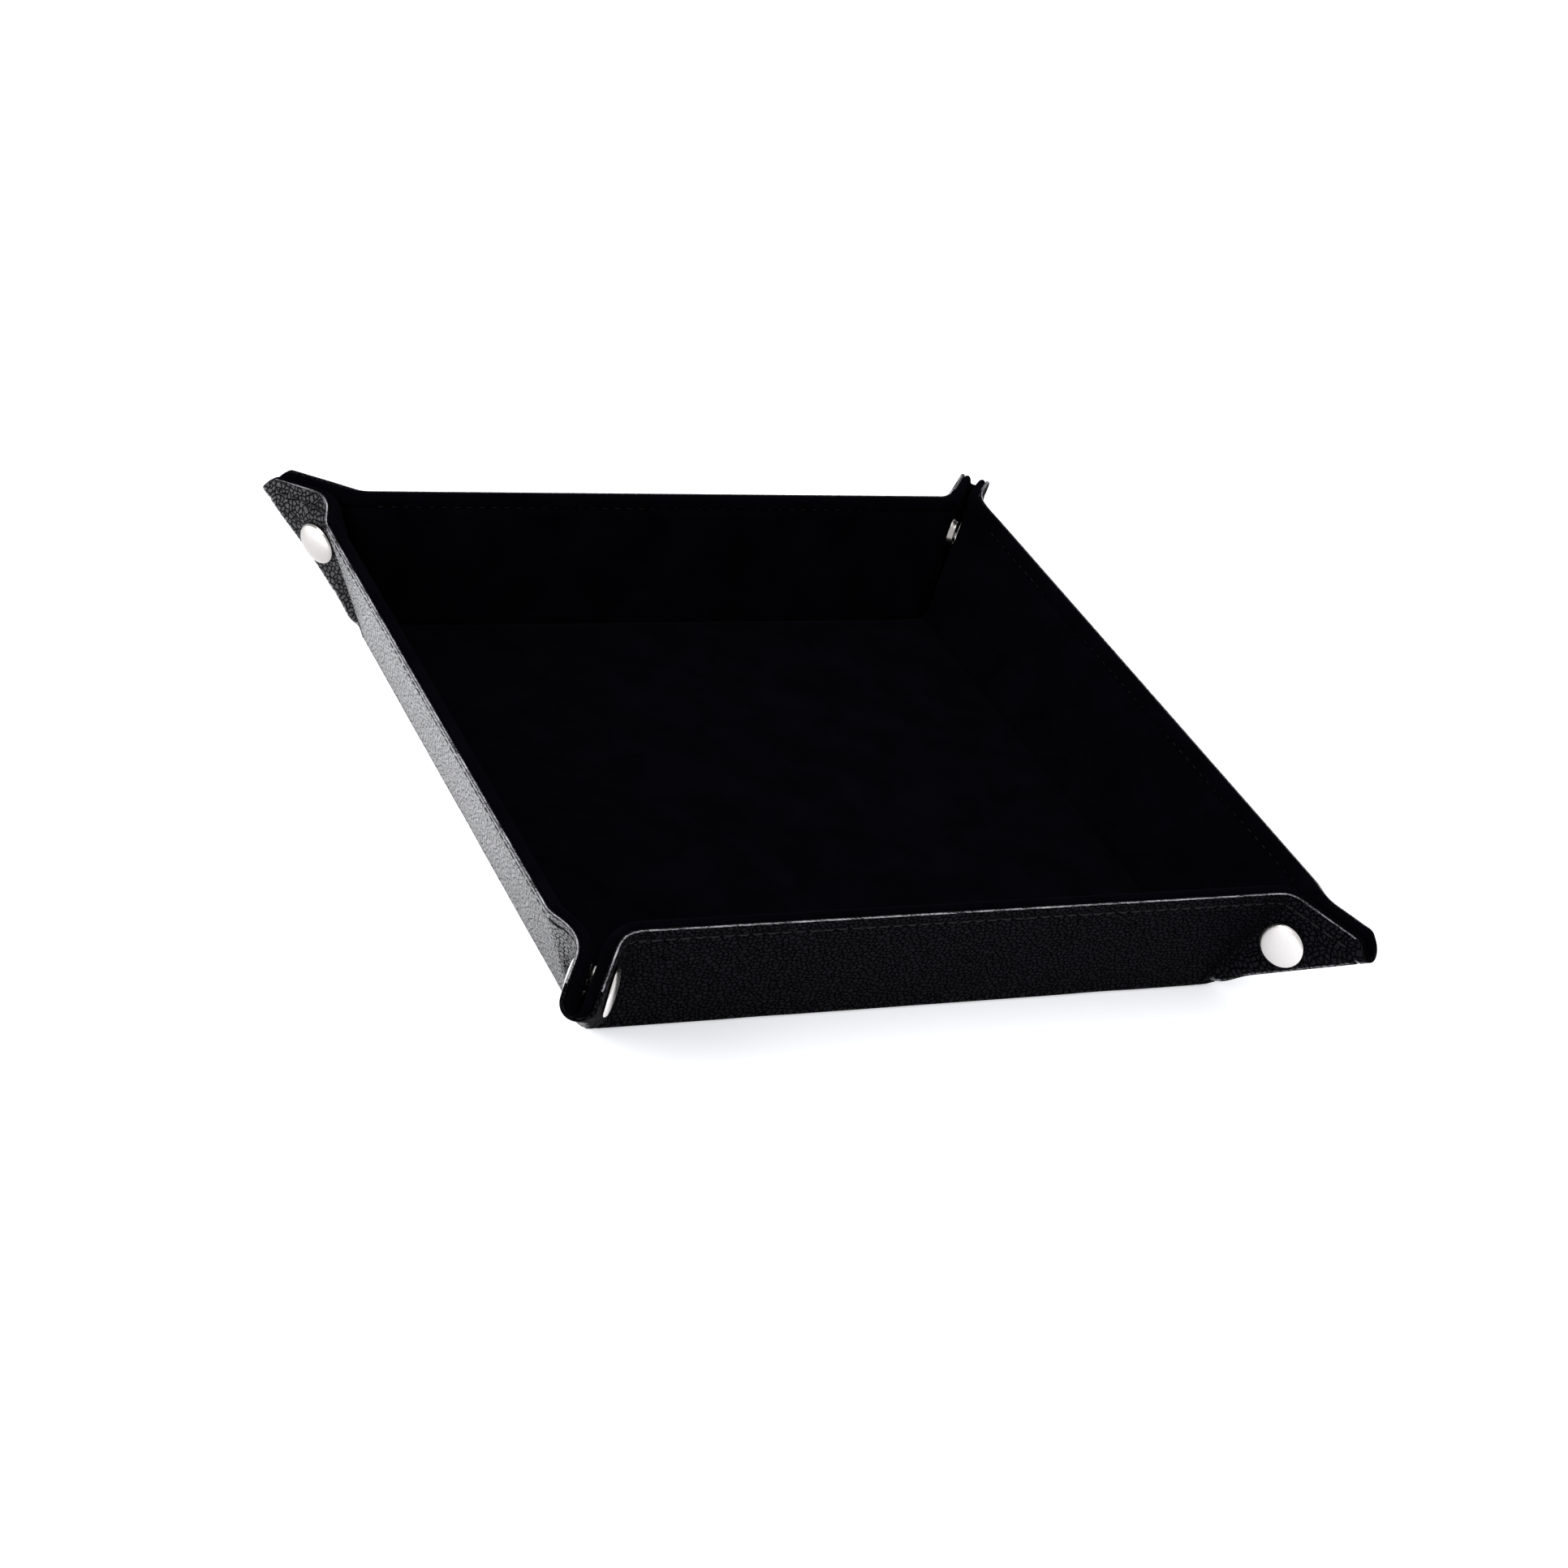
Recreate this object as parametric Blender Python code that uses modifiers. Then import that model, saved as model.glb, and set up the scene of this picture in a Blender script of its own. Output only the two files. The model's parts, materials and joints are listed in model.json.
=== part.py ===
"""Folding dice tray with four press-stud corners, shown folded up.

A square sheet (leather outside, board core in the floor and walls, velvet
inside) whose four walls fold up on living hinges.  At each corner the sheet is
pinched into an outward ear: two halves face each other and a press stud holds
them together.  Every panel outline is drawn in the flat sheet, in millimetres,
and placed by the matrix of the body it belongs to.

Flat sheet: X right, Y back, Z up; leather outer face at z = 0, velvet on top.
"""
import math
from collections import namedtuple

import bpy
import numpy as np
from mathutils import Matrix

# ---------------------------------------------------------------- dimensions
# Lengths in millimetres, angles in degrees.
MM = 0.001
FOLD = 88.6            # fold line distance from the centre
FOLD_Z = 2.0           # height of the fold axis (middle of the sheet)
WALL = 38.4            # flat height of a wall, fold line to rim
WALL_ANGLE_FB = 72.5   # front and back wall, above the floor plane
WALL_ANGLE_LR = 65.0   # left and right wall

# Layers: bottom and top z in the flat sheet
LEATHER_Z = (0.0, 1.1)
BOARD_Z = (1.4, 2.7)
VELVET_Z = (3.0, 4.0)        # over the boards
EAR_VELVET_Z = (1.4, 2.6)    # ears have no board
THREAD_Z = (-0.6, -0.3)      # just outside the leather

# Gaps from a fold line to the edge of each layer
LEATHER_GAP = 1.2
VELVET_GAP = 2.0
FLOOR_BOARD_GAP = 2.5
WALL_BOARD_GAP = 3.2

# Insets at both ends of a wall, from the corner fold
LEATHER_END = 1.6
VELVET_END = 3.2
BOARD_END = 9.0
THREAD_END = 5.0

# Distances below the rim
VELVET_FROM_RIM = 0.4
BOARD_FROM_RIM = 6.0
THREAD_FROM_RIM = 3.4        # to the middle of the thread

THREAD_WIDTH = 0.6
FLOOR_BOARD_RADIUS = 4.0
WALL_BOARD_RADIUS = 3.0

# Ears: (x sign, y sign, plan direction from the side-wall normal,
#        rise of the bottom fold)
EAR_CORNERS = {
    "fl": (-1, -1, 56.4, 35.5),
    "fr": (1, -1, 56.9, 36.3),
    "br": (1, 1, 51.1, 40.2),
    "bl": (-1, 1, 52.1, 35.6),
}
EAR_HALF_GAP = 2.5     # half spacing of the two ear mid-layers
EAR_TIP = 47.9         # truncated tip, measured along the corner diagonal
EAR_LIP = 4.5          # each half starts this far from the diagonal
EAR_SIDE = 3.4         # ear half starts this far past the corner fold line
EAR_VELVET_INSET = 0.5
EAR_JOINT_RISE = 18.0  # ear joint point, moved up its axis to mid ear height

SNAP_ALONG = 26.4      # snap centre along the diagonal
SNAP_HEIGHT = 8.0      # snap centre above the bottom fold
HOLE_RADIUS = 1.85
HOLE_SEGMENTS = 20
LATHE_STEPS = 20
LATHE_MERGE = 0.02
HELPER_SIZE = 10.0     # display size of the joint empties

# ---------------------------------------------------------------- clean start
for old_object in list(bpy.data.objects):
    bpy.data.objects.remove(old_object, do_unlink=True)

COLLECTION = bpy.data.collections.new("folding_dice_tray")
bpy.context.scene.collection.children.link(COLLECTION)

# ---------------------------------------------------------------- materials
LOOKS = {
    "leather": dict(color=(0.035, 0.037, 0.042), roughness=0.45),
    "velvet": dict(color=(0.010, 0.010, 0.011), roughness=0.95, sheen=0.4),
    "board": dict(color=(0.42, 0.36, 0.28), roughness=0.85),
    "thread": dict(color=(0.02, 0.02, 0.022), roughness=0.7),
    "nickel": dict(color=(0.78, 0.78, 0.77), roughness=0.22, metallic=1.0),
    "steel": dict(color=(0.55, 0.55, 0.56), roughness=0.35, metallic=1.0),
}


def material(name, color, roughness, metallic=0.0, sheen=0.0):
    mat = bpy.data.materials.new(name)
    mat.use_nodes = True
    inputs = mat.node_tree.nodes["Principled BSDF"].inputs
    inputs["Base Color"].default_value = (*color, 1.0)
    inputs["Roughness"].default_value = roughness
    inputs["Metallic"].default_value = metallic
    inputs["Sheen Weight"].default_value = sheen
    mat.diffuse_color = (*color, 1.0)
    return mat


# ---------------------------------------------------------------- body frames
# matrix: flat sheet to folded place; joint: point on the hinge axis (mm)
Body = namedtuple("Body", "matrix joint")

# outward x, outward y, hinge axis, signed fold angle
WALLS = {
    "back_wall": (0, 1, "X", WALL_ANGLE_FB),
    "front_wall": (0, -1, "X", -WALL_ANGLE_FB),
    "right_wall": (1, 0, "Y", -WALL_ANGLE_LR),
    "left_wall": (-1, 0, "Y", WALL_ANGLE_LR),
}


def shift(x, y, z):
    return Matrix.Translation((x * MM, y * MM, z * MM))


def wall_body(out_x, out_y, axis, angle):
    """A wall turned up about its fold line."""
    x, y = out_x * FOLD, out_y * FOLD
    turn = Matrix.Rotation(math.radians(angle), 4, axis)
    return Body(shift(x, y, FOLD_Z) @ turn @ shift(-x, -y, -FOLD_Z), (x, y, FOLD_Z))


BODIES = {"base": Body(Matrix.Identity(4), (0.0, 0.0, 0.0))}
for wall, fold in WALLS.items():
    BODIES[wall] = wall_body(*fold)

# Ear half: side is 1 on the front or back wall, -1 on the left or right wall;
# slide is its shift up the ear, square to the bottom fold
EarHalf = namedtuple("EarHalf", "body corner x_sign y_sign side slide")
DIAGONAL = 1.0 / math.sqrt(2.0)


def ear_body(x_sign, y_sign, direction, rise, side):
    """Body and slide of an ear half, solved in the back right corner, then mirrored."""
    direction, rise = math.radians(direction), math.radians(rise)
    up = np.array([0.0, 0.0, 1.0])
    outward = np.array([math.cos(direction), math.sin(direction), 0.0])
    across = np.array([-math.sin(direction), math.cos(direction), 0.0])
    along = outward * math.cos(rise) + up * math.sin(rise)
    height = -outward * math.sin(rise) + up * math.cos(rise)

    # Flat axes: diagonal, perpendicular away from it, up
    flat_axes = np.array([[DIAGONAL, DIAGONAL, 0.0],
                          [-side * DIAGONAL, side * DIAGONAL, 0.0],
                          [0.0, 0.0, 1.0]])
    folded_axes = np.array([along, height, -side * across])
    turn = folded_axes.T @ flat_axes

    # Axis of the turn that takes the wall's orientation to the ear's
    wall_name = "back_wall" if side > 0 else "right_wall"
    wall_turn = np.array(BODIES[wall_name].matrix.to_3x3())
    joint_turn = turn @ wall_turn.T
    axis = np.array([joint_turn[2, 1] - joint_turn[1, 2],
                     joint_turn[0, 2] - joint_turn[2, 0],
                     joint_turn[1, 0] - joint_turn[0, 1]])
    axis /= np.linalg.norm(axis)

    # The slide squares the offset to the axis, so the joint is a pure rotation
    slide = -side * EAR_HALF_GAP * (across @ axis) / (height @ axis)
    offset = side * EAR_HALF_GAP * across + slide * height
    equations = np.vstack([np.eye(3) - joint_turn, axis])
    joint = np.linalg.lstsq(equations, np.append(offset, 0.0), rcond=None)[0]
    joint += axis * math.copysign(EAR_JOINT_RISE, axis[2])

    corner = np.array([FOLD, FOLD, FOLD_Z])
    mirror = np.diag([x_sign, y_sign, 1.0])
    turn = mirror @ turn @ mirror
    move = mirror @ (corner + offset) - turn @ (mirror @ corner)
    matrix = Matrix(turn.tolist()).to_4x4()
    matrix.translation = (move * MM).tolist()
    return Body(matrix, tuple(mirror @ (corner + joint))), slide


EAR_HALVES = []
for corner_name, (x_sign, y_sign, direction, rise) in EAR_CORNERS.items():
    for side, wall_word in ((1, "front" if y_sign < 0 else "back"), (-1, "side")):
        body_name = f"ear_{corner_name}_{wall_word}"
        BODIES[body_name], slide = ear_body(x_sign, y_sign, direction, rise, side)
        EAR_HALVES.append(EarHalf(body_name, corner_name, x_sign, y_sign, side, slide))


def joint_empty(name, joint):
    empty = bpy.data.objects.new("axis_" + name, None)
    empty.empty_display_size = HELPER_SIZE * MM
    empty.location = [float(value) * MM for value in joint]
    COLLECTION.objects.link(empty)
    return empty


EMPTIES = {name: joint_empty(name, body.joint) for name, body in BODIES.items()}
# The empties' world matrices are read when pieces are parented
bpy.context.view_layer.update()


def place(piece, body, local):
    """Parent a piece to its body's empty and set it in the folded place."""
    COLLECTION.objects.link(piece)
    empty = EMPTIES[body]
    piece.parent = empty
    piece.matrix_parent_inverse = empty.matrix_world.inverted()
    piece.matrix_world = BODIES[body].matrix @ local
    return piece


# ---------------------------------------------------------------- piece makers
def panel(name, body, look, outline, layer, holes=()):
    """Flat plate; layer is its (bottom, top) z, holes are closed outlines."""
    bottom, top = layer
    curve = bpy.data.curves.new(name, "CURVE")
    curve.dimensions = "2D"
    curve.fill_mode = "BOTH"
    curve.extrude = (top - bottom) * 0.5 * MM
    for loop in (outline, *holes):
        spline = curve.splines.new("POLY")
        spline.points.add(len(loop) - 1)
        for point, (x, y) in zip(spline.points, loop):
            point.co = (x * MM, y * MM, 0.0, 1.0)
        spline.use_cyclic_u = True
    curve.materials.append(material(name + "_mat", **LOOKS[look]))
    piece = bpy.data.objects.new(name, curve)
    place(piece, body, shift(0, 0, (bottom + top) * 0.5))


def lathe(name, body, look, profile, centre, closed=False):
    """Turn a profile of (radius, z) points about the sheet normal at centre."""
    mesh = bpy.data.meshes.new(name)
    edges = [(i, i + 1) for i in range(len(profile) - 1)]
    if closed:
        edges.append((len(profile) - 1, 0))
    mesh.from_pydata([(radius * MM, 0.0, z * MM) for radius, z in profile], edges, [])
    mesh.materials.append(material(name + "_mat", **LOOKS[look]))
    piece = place(bpy.data.objects.new(name, mesh), body, shift(*centre, 0))
    screw = piece.modifiers.new("turn", "SCREW")
    screw.axis = "Z"
    screw.angle = 2 * math.pi
    screw.steps = LATHE_STEPS
    screw.render_steps = LATHE_STEPS
    screw.use_merge_vertices = True
    screw.merge_threshold = LATHE_MERGE * MM
    screw.use_smooth_shade = True


def rectangle(x0, x1, y0, y1, radius=0.0, segments=4):
    if not radius:
        return [(x0, y0), (x1, y0), (x1, y1), (x0, y1)]
    corners = ((x1 - radius, y1 - radius, 0), (x0 + radius, y1 - radius, 90),
               (x0 + radius, y0 + radius, 180), (x1 - radius, y0 + radius, 270))
    points = []
    for x, y, start in corners:
        for i in range(segments + 1):
            angle = math.radians(start + 90 * i / segments)
            points.append((x + radius * math.cos(angle), y + radius * math.sin(angle)))
    return points


def circle(x, y, radius, segments):
    angles = [2 * math.pi * i / segments for i in range(segments)]
    return [(x + radius * math.cos(angle), y + radius * math.sin(angle)) for angle in angles]


# ---------------------------------------------------------------- floor
def floor_outline(gap, radius=0.0):
    half = FOLD - gap
    return rectangle(-half, half, -half, half, radius)


def build_floor():
    board = floor_outline(FLOOR_BOARD_GAP, FLOOR_BOARD_RADIUS)
    panel("cover_base", "base", "leather", floor_outline(LEATHER_GAP), LEATHER_Z)
    panel("board_base", "base", "board", board, BOARD_Z)
    panel("lining_base", "base", "velvet", floor_outline(VELVET_GAP), VELVET_Z)


# ---------------------------------------------------------------- walls
def wall_outline(wall, start, stop, end, radius=0.0):
    """Strip from start to stop past the wall's fold line, both ends inset by end."""
    half = FOLD - end
    near, far = FOLD + start, FOLD + stop
    box = {"back_wall": (-half, half, near, far),
           "front_wall": (-half, half, -far, -near),
           "right_wall": (near, far, -half, half),
           "left_wall": (-far, -near, -half, half)}[wall]
    return rectangle(*box, radius)


def build_wall(wall):
    thread = WALL - THREAD_FROM_RIM
    half_width = THREAD_WIDTH / 2
    # piece, look, layer, outline: start, stop, end inset, corner radius
    layers = (
        ("cover_", "leather", LEATHER_Z, (LEATHER_GAP, WALL, LEATHER_END)),
        ("board_", "board", BOARD_Z,
         (WALL_BOARD_GAP, WALL - BOARD_FROM_RIM, BOARD_END, WALL_BOARD_RADIUS)),
        ("lining_", "velvet", VELVET_Z, (VELVET_GAP, WALL - VELVET_FROM_RIM, VELVET_END)),
        ("thread_", "thread", THREAD_Z, (thread - half_width, thread + half_width, THREAD_END)),
    )
    for prefix, look, layer, extent in layers:
        panel(prefix + wall, wall, look, wall_outline(wall, *extent), layer)


# ---------------------------------------------------------------- ear halves
def ear_point(ear, along, away):
    """Flat sheet point from distances along the corner diagonal and away from it."""
    x = FOLD + (along - ear.side * away) * DIAGONAL
    y = FOLD + (along + ear.side * away) * DIAGONAL
    return (ear.x_sign * x, ear.y_sign * y)


def ear_outline(ear, inset=0.0):
    rim = (WALL - inset) * math.sqrt(2.0)
    fold_side = (EAR_SIDE + inset) * math.sqrt(2.0)
    lip = EAR_LIP + inset * 0.5
    tip = EAR_TIP - inset
    corners = [(lip + fold_side, lip), (tip, lip), (tip, rim - tip),
               ((rim + fold_side) / 2, (rim - fold_side) / 2)]
    return [ear_point(ear, along, away) for along, away in corners]


def build_ear_half(ear, snap):
    hole = circle(*snap, HOLE_RADIUS, HOLE_SEGMENTS)
    velvet = ear_outline(ear, EAR_VELVET_INSET)
    panel("cover_" + ear.body, ear.body, "leather", ear_outline(ear), LEATHER_Z, [hole])
    panel("lining_" + ear.body, ear.body, "velvet", velvet, EAR_VELVET_Z, [hole])


# ---------------------------------------------------------------- press studs
# Profiles are (radius, z) points; negative z is outside the leather.
CAP_RADIUS = 6.1
CAP_BACK_RADIUS = CAP_RADIUS - 0.2
CAP_BACK_Z = -0.3
CAP_EDGE_Z = -1.0
CAP_CROWN_Z = -2.5
CAP_DOME_SEGMENTS = 5
POST_RADIUS = 1.4
POST_END_Z = 2.5
SNAP_BASE_Z = 2.95     # socket and stud start here, clear of the velvet

SOCKET_BORE = 2.75
SOCKET_GROOVE = 3.6    # radius of the groove that holds the spring
SOCKET = [
    (SOCKET_BORE, 5.0), (4.6, 5.0), (5.2, 4.5), (5.2, SNAP_BASE_Z), (SOCKET_BORE, SNAP_BASE_Z),
    (SOCKET_BORE, 3.6), (SOCKET_GROOVE, 3.6), (SOCKET_GROOVE, 4.75), (SOCKET_BORE, 4.75),
]
STUD = [
    (0.0, 5.4), (1.5, 5.4), (1.9, 5.1), (1.9, 4.7), (1.6, 4.3), (1.6, 3.45),
    (4.6, 3.45), (5.0, 3.25), (5.0, SNAP_BASE_Z), (0.0, SNAP_BASE_Z),
]
SPRING_RADIUS = 2.88
SPRING_Z = 4.18
SPRING_WIRE_RADIUS = 0.22
SPRING_SEGMENTS = 8


def cap_profile():
    """Post and domed cap, from the post's end to the crown."""
    points = [(0.0, POST_END_Z), (POST_RADIUS, POST_END_Z),
              (POST_RADIUS, CAP_BACK_Z), (CAP_BACK_RADIUS, CAP_BACK_Z)]
    for i in range(CAP_DOME_SEGMENTS):
        angle = math.radians(90.0 * i / CAP_DOME_SEGMENTS)
        z = CAP_EDGE_Z + (CAP_CROWN_Z - CAP_EDGE_Z) * math.sin(angle)
        points.append((CAP_RADIUS * math.cos(angle), z))
    return points + [(0.0, CAP_CROWN_Z)]


def spring_profile():
    """Round wire section, clockwise from its top."""
    angles = [math.pi / 2 - 2 * math.pi * i / SPRING_SEGMENTS for i in range(SPRING_SEGMENTS)]
    return [(SPRING_RADIUS + SPRING_WIRE_RADIUS * math.cos(angle),
             SPRING_Z + SPRING_WIRE_RADIUS * math.sin(angle)) for angle in angles]


def build_snap_half(ear, snap):
    """Socket half on the front or back wall's ear, stud half on the side wall's."""
    body, corner = ear.body, ear.corner
    if ear.side > 0:
        lathe("snap_cap_" + corner, body, "nickel", cap_profile(), snap)
        lathe("snap_socket_" + corner, body, "nickel", SOCKET, snap, closed=True)
        lathe("snap_spring_" + corner, body, "steel", spring_profile(), snap, closed=True)
    else:
        lathe("snap_backcap_" + corner, body, "nickel", cap_profile(), snap)
        lathe("snap_stud_" + corner, body, "nickel", STUD, snap)


# ---------------------------------------------------------------- build
build_floor()
for wall in ("front_wall", "back_wall", "left_wall", "right_wall"):
    build_wall(wall)
for ear in EAR_HALVES:
    snap_centre = ear_point(ear, SNAP_ALONG, SNAP_HEIGHT - ear.slide)
    build_ear_half(ear, snap_centre)
    build_snap_half(ear, snap_centre)

bpy.context.view_layer.update()
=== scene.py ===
# Square leather tray with a velvet lining. The base lies flat on the floor, centred on the
# origin; front is -Y and left is -X. Four walls stand up from it, and each corner is pinched
# along its diagonal into an ear: one half carries on the front or back wall, the other the
# left or right wall, and a press stud joins them.
# Every part is drawn on the flat sheet in mm, then folded about the joints of the frame.
import json
import math
from types import SimpleNamespace

import bmesh
import bpy
import numpy as np
from mathutils import Matrix, Vector, noise
from mathutils.geometry import delaunay_2d_cdt


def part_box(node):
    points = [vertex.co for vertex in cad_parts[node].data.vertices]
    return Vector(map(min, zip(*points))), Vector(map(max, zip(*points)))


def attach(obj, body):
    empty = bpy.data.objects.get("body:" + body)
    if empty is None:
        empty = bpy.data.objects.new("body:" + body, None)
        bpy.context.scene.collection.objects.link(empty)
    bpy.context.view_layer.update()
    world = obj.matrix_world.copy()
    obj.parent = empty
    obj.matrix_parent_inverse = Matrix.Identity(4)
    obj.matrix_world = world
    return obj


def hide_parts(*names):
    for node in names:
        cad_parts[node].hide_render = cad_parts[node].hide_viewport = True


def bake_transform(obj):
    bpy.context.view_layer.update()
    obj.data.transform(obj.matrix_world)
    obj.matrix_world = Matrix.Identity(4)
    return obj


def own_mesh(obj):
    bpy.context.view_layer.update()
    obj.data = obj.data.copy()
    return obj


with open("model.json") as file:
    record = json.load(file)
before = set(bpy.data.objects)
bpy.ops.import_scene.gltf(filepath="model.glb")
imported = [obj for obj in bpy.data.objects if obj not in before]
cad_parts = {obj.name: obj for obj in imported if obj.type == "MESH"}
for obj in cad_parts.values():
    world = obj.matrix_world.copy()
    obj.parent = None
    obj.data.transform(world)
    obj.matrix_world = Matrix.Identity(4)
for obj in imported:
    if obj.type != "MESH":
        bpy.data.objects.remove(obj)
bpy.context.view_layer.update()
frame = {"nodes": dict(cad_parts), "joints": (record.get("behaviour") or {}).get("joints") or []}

# ------------------------------------------------------------------ sizes (mm)
MM = 0.001
ROOT2 = math.sqrt(2.0)
JOINTS = {joint["child"]: joint for joint in frame["joints"]}
FOLD = abs(JOINTS["front_wall"]["pos_m"][1]) / MM    # centre of the base to a wall's fold
FOLD_Z = JOINTS["front_wall"]["pos_m"][2] / MM
WALL = 38.4                       # flat height of a wall
TIP = 47.9                        # where the ear tip is cut, along the diagonal
TIP_ROUND = 1.3                   # rounding where the tip cut meets the rim
STITCH_IN = 3.6                   # stitch line below the rim
PITCH = 3.7                       # stitch spacing
LEATHER_TOP = 1.1
VELVET_BOTTOM = 1.15
VELVET_TOP = 4.0
FOOT_FILL = 1.1                   # how far the foot of an ear is drawn to its diagonal
STUD_LEAN = {"bl": 16.0}          # tilt of a stud about the ear's diagonal, in degrees
ON_BASE = 1e3                     # inset given to the base, which has no rim
FAR_FROM_STUD = 99.0

# Soft fold between a wall and its ear half. The centre and half width are measured along
# the wall; the end halves have a slanted centre line given by their joint.
END_FOLD_FOOT = 2.0               # half width at the base
END_FOLD_RIM = {"fl": 9.0, "fr": 6.5, "br": 6.0, "bl": 5.0}
SIDE_FOLD_FOOT = (-2.2, 2.2)      # centre, half width
SIDE_FOLD_RIM = {"fl": (11.0, 12.0), "fr": (13.0, 7.0), "br": (11.0, 11.0), "bl": (8.5, 11.0)}

# Mesh rows next to a rim, as distances in from it
INSETS = [0.0, 0.45, 1.0, 1.6, 2.2, 2.7, 3.15, 3.6, 4.05, 4.5, 5.1, 6.0, 7.2, 8.8]
WALL_COLUMNS = 192

WALLS = ("front_wall", "back_wall", "left_wall", "right_wall")
CORNER_SIGNS = {"fl": (-1, -1), "fr": (1, -1), "br": (1, 1), "bl": (-1, 1)}


# ------------------------------------------------------------------ folding
def smooth(x):
    x = np.clip(x, 0.0, 1.0)
    return x * x * (3 - 2 * x)


def fade(value, start, length):
    """Rises smoothly from 0 at start to 1 a length further on."""
    return smooth((value - start) / length)


def rotate(points, pivot, axis, angle):
    angle = np.broadcast_to(angle, (len(points),))
    arm = points - pivot
    cos, sin = np.cos(angle)[:, None], np.sin(angle)[:, None]
    return pivot + arm * cos + np.cross(axis, arm) * sin + axis * (arm @ axis)[:, None] * (1 - cos)


def turn(points, joint, share):
    """Turns points about a joint: share 1 folds the flat sheet, share -1 flattens it again."""
    axis = np.array(joint["axis"], float)
    angle = -np.asarray(share, float) * math.radians(joint["range_deg"][1])
    return rotate(points, np.array(joint["pos_m"]) / MM, axis / np.linalg.norm(axis), angle)


def flat_xy(half, along, out):
    """along: past the corner of the base, along the wall; out: out from the wall's own fold."""
    if half.on_end:
        return half.x_sign * (FOLD + along), half.y_sign * (FOLD + out)
    return half.x_sign * (FOLD + out), half.y_sign * (FOLD + along)


def flat_points(half, along, out, z):
    x, y = flat_xy(half, along, out)
    return np.stack([x, y, np.broadcast_to(z, np.shape(x))], 1).astype(float)


def to_diagonal(along, out):
    """Distances along the ear's diagonal and off it."""
    return (along + out) / ROOT2, (out - along) / ROOT2


def from_diagonal(diag, off):
    return (diag - off) / ROOT2, (diag + off) / ROOT2


def fold_rigid(half, points):
    return turn(turn(points, half.wall_joint, 1.0), half.joint, 1.0)


def folded_direction(half, pair):
    step = np.diff(fold_rigid(half, pair), axis=0)[0]
    return step / np.linalg.norm(step)


def make_half(corner, name, other, wall, on_end):
    """An ear half with its folded directions; on_end marks halves of the front and back walls."""
    x_sign, y_sign = CORNER_SIGNS[corner]
    half = SimpleNamespace(
        name=name, corner=corner, other=other, wall=wall, on_end=on_end, x_sign=x_sign,
        y_sign=y_sign, joint=JOINTS[name], wall_joint=JOINTS[wall])
    step = np.array([0.0, 1.0])
    half.base_corner = np.array([x_sign * FOLD, y_sign * FOLD, FOLD_Z])
    half.shift = (fold_rigid(half, half.base_corner[None]) - half.base_corner[None])[0]
    half.diag_axis = folded_direction(half, flat_points(half, step, step, FOLD_Z))
    half.off_axis = folded_direction(half, flat_points(half, -step, step, FOLD_Z))
    half.up = folded_direction(half, np.array([[0, 0, 0.0], [0, 0, 1.0]]))
    half.offset = float(half.shift @ half.off_axis)
    half.gap = float(-(half.shift @ half.up))
    return half


HALVES = {}
for corner, (x_sign, y_sign) in CORNER_SIGNS.items():
    end = "front" if y_sign < 0 else "back"
    side = "left" if x_sign < 0 else "right"
    end_half, side_half = "ear_%s_%s" % (corner, end), "ear_%s_side" % corner
    HALVES[end_half] = make_half(corner, end_half, side_half, end + "_wall", True)
    HALVES[side_half] = make_half(corner, side_half, end_half, side + "_wall", False)
for half in HALVES.values():
    half.mean_offset = 0.5 * (half.offset + HALVES[half.other].offset)
GAP = float(np.mean([half.gap for half in HALVES.values()]))    # half spacing of the mid layers
LIP = GAP * math.pi / 2                                         # width of each rounded lip

FOLD_STEPS = np.linspace(-1, 1, 241)       # across a soft fold, in half widths


def fit_end_fold(half):
    """Finds the slanted fold line of an end half and how its fold departs from a plain turn."""
    axis = np.array(half.joint["axis"], float)
    pivot = np.array(half.joint["pos_m"]) / MM
    line = turn(np.array([pivot, pivot + 30 * axis]), half.wall_joint, -1.0)
    (along_0, out_0), (along_1, out_1) = np.abs(line[:, :2]) - FOLD
    half.slope = float((along_1 - along_0) / (out_1 - out_0))
    half.fold_start = float(along_0 - half.slope * out_0)
    # direction across the fold, in the wall, towards the ear
    pair = flat_points(half, np.array([0.0, 1.0]), np.array([0.0, -half.slope]), FOLD_Z)
    pair = turn(pair, half.wall_joint, 1.0)
    across = pair[1] - pair[0]
    across -= axis * (across @ axis)
    across /= np.linalg.norm(across)
    angle = -math.radians(half.joint["range_deg"][1]) * smooth((FOLD_STEPS + 1) / 2)
    heading = across * np.cos(angle)[:, None] + np.cross(axis, across) * np.sin(angle)[:, None]
    steps = (heading[1:] + heading[:-1]) / 2 * np.diff(FOLD_STEPS)[:, None]
    path = np.vstack([np.zeros(3), np.cumsum(steps, 0)])
    chord = heading[-1] + heading[0]
    path = -heading[0] + path * (np.linalg.norm(chord) / np.linalg.norm(path[-1]))
    half.rounding = path - FOLD_STEPS[:, None] * heading
    half.fold_cos = 1 / math.sqrt(1 + half.slope ** 2)


def box_mm(node_name):
    low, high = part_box(node_name)
    return np.array(low) / MM, np.array(high) / MM


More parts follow.
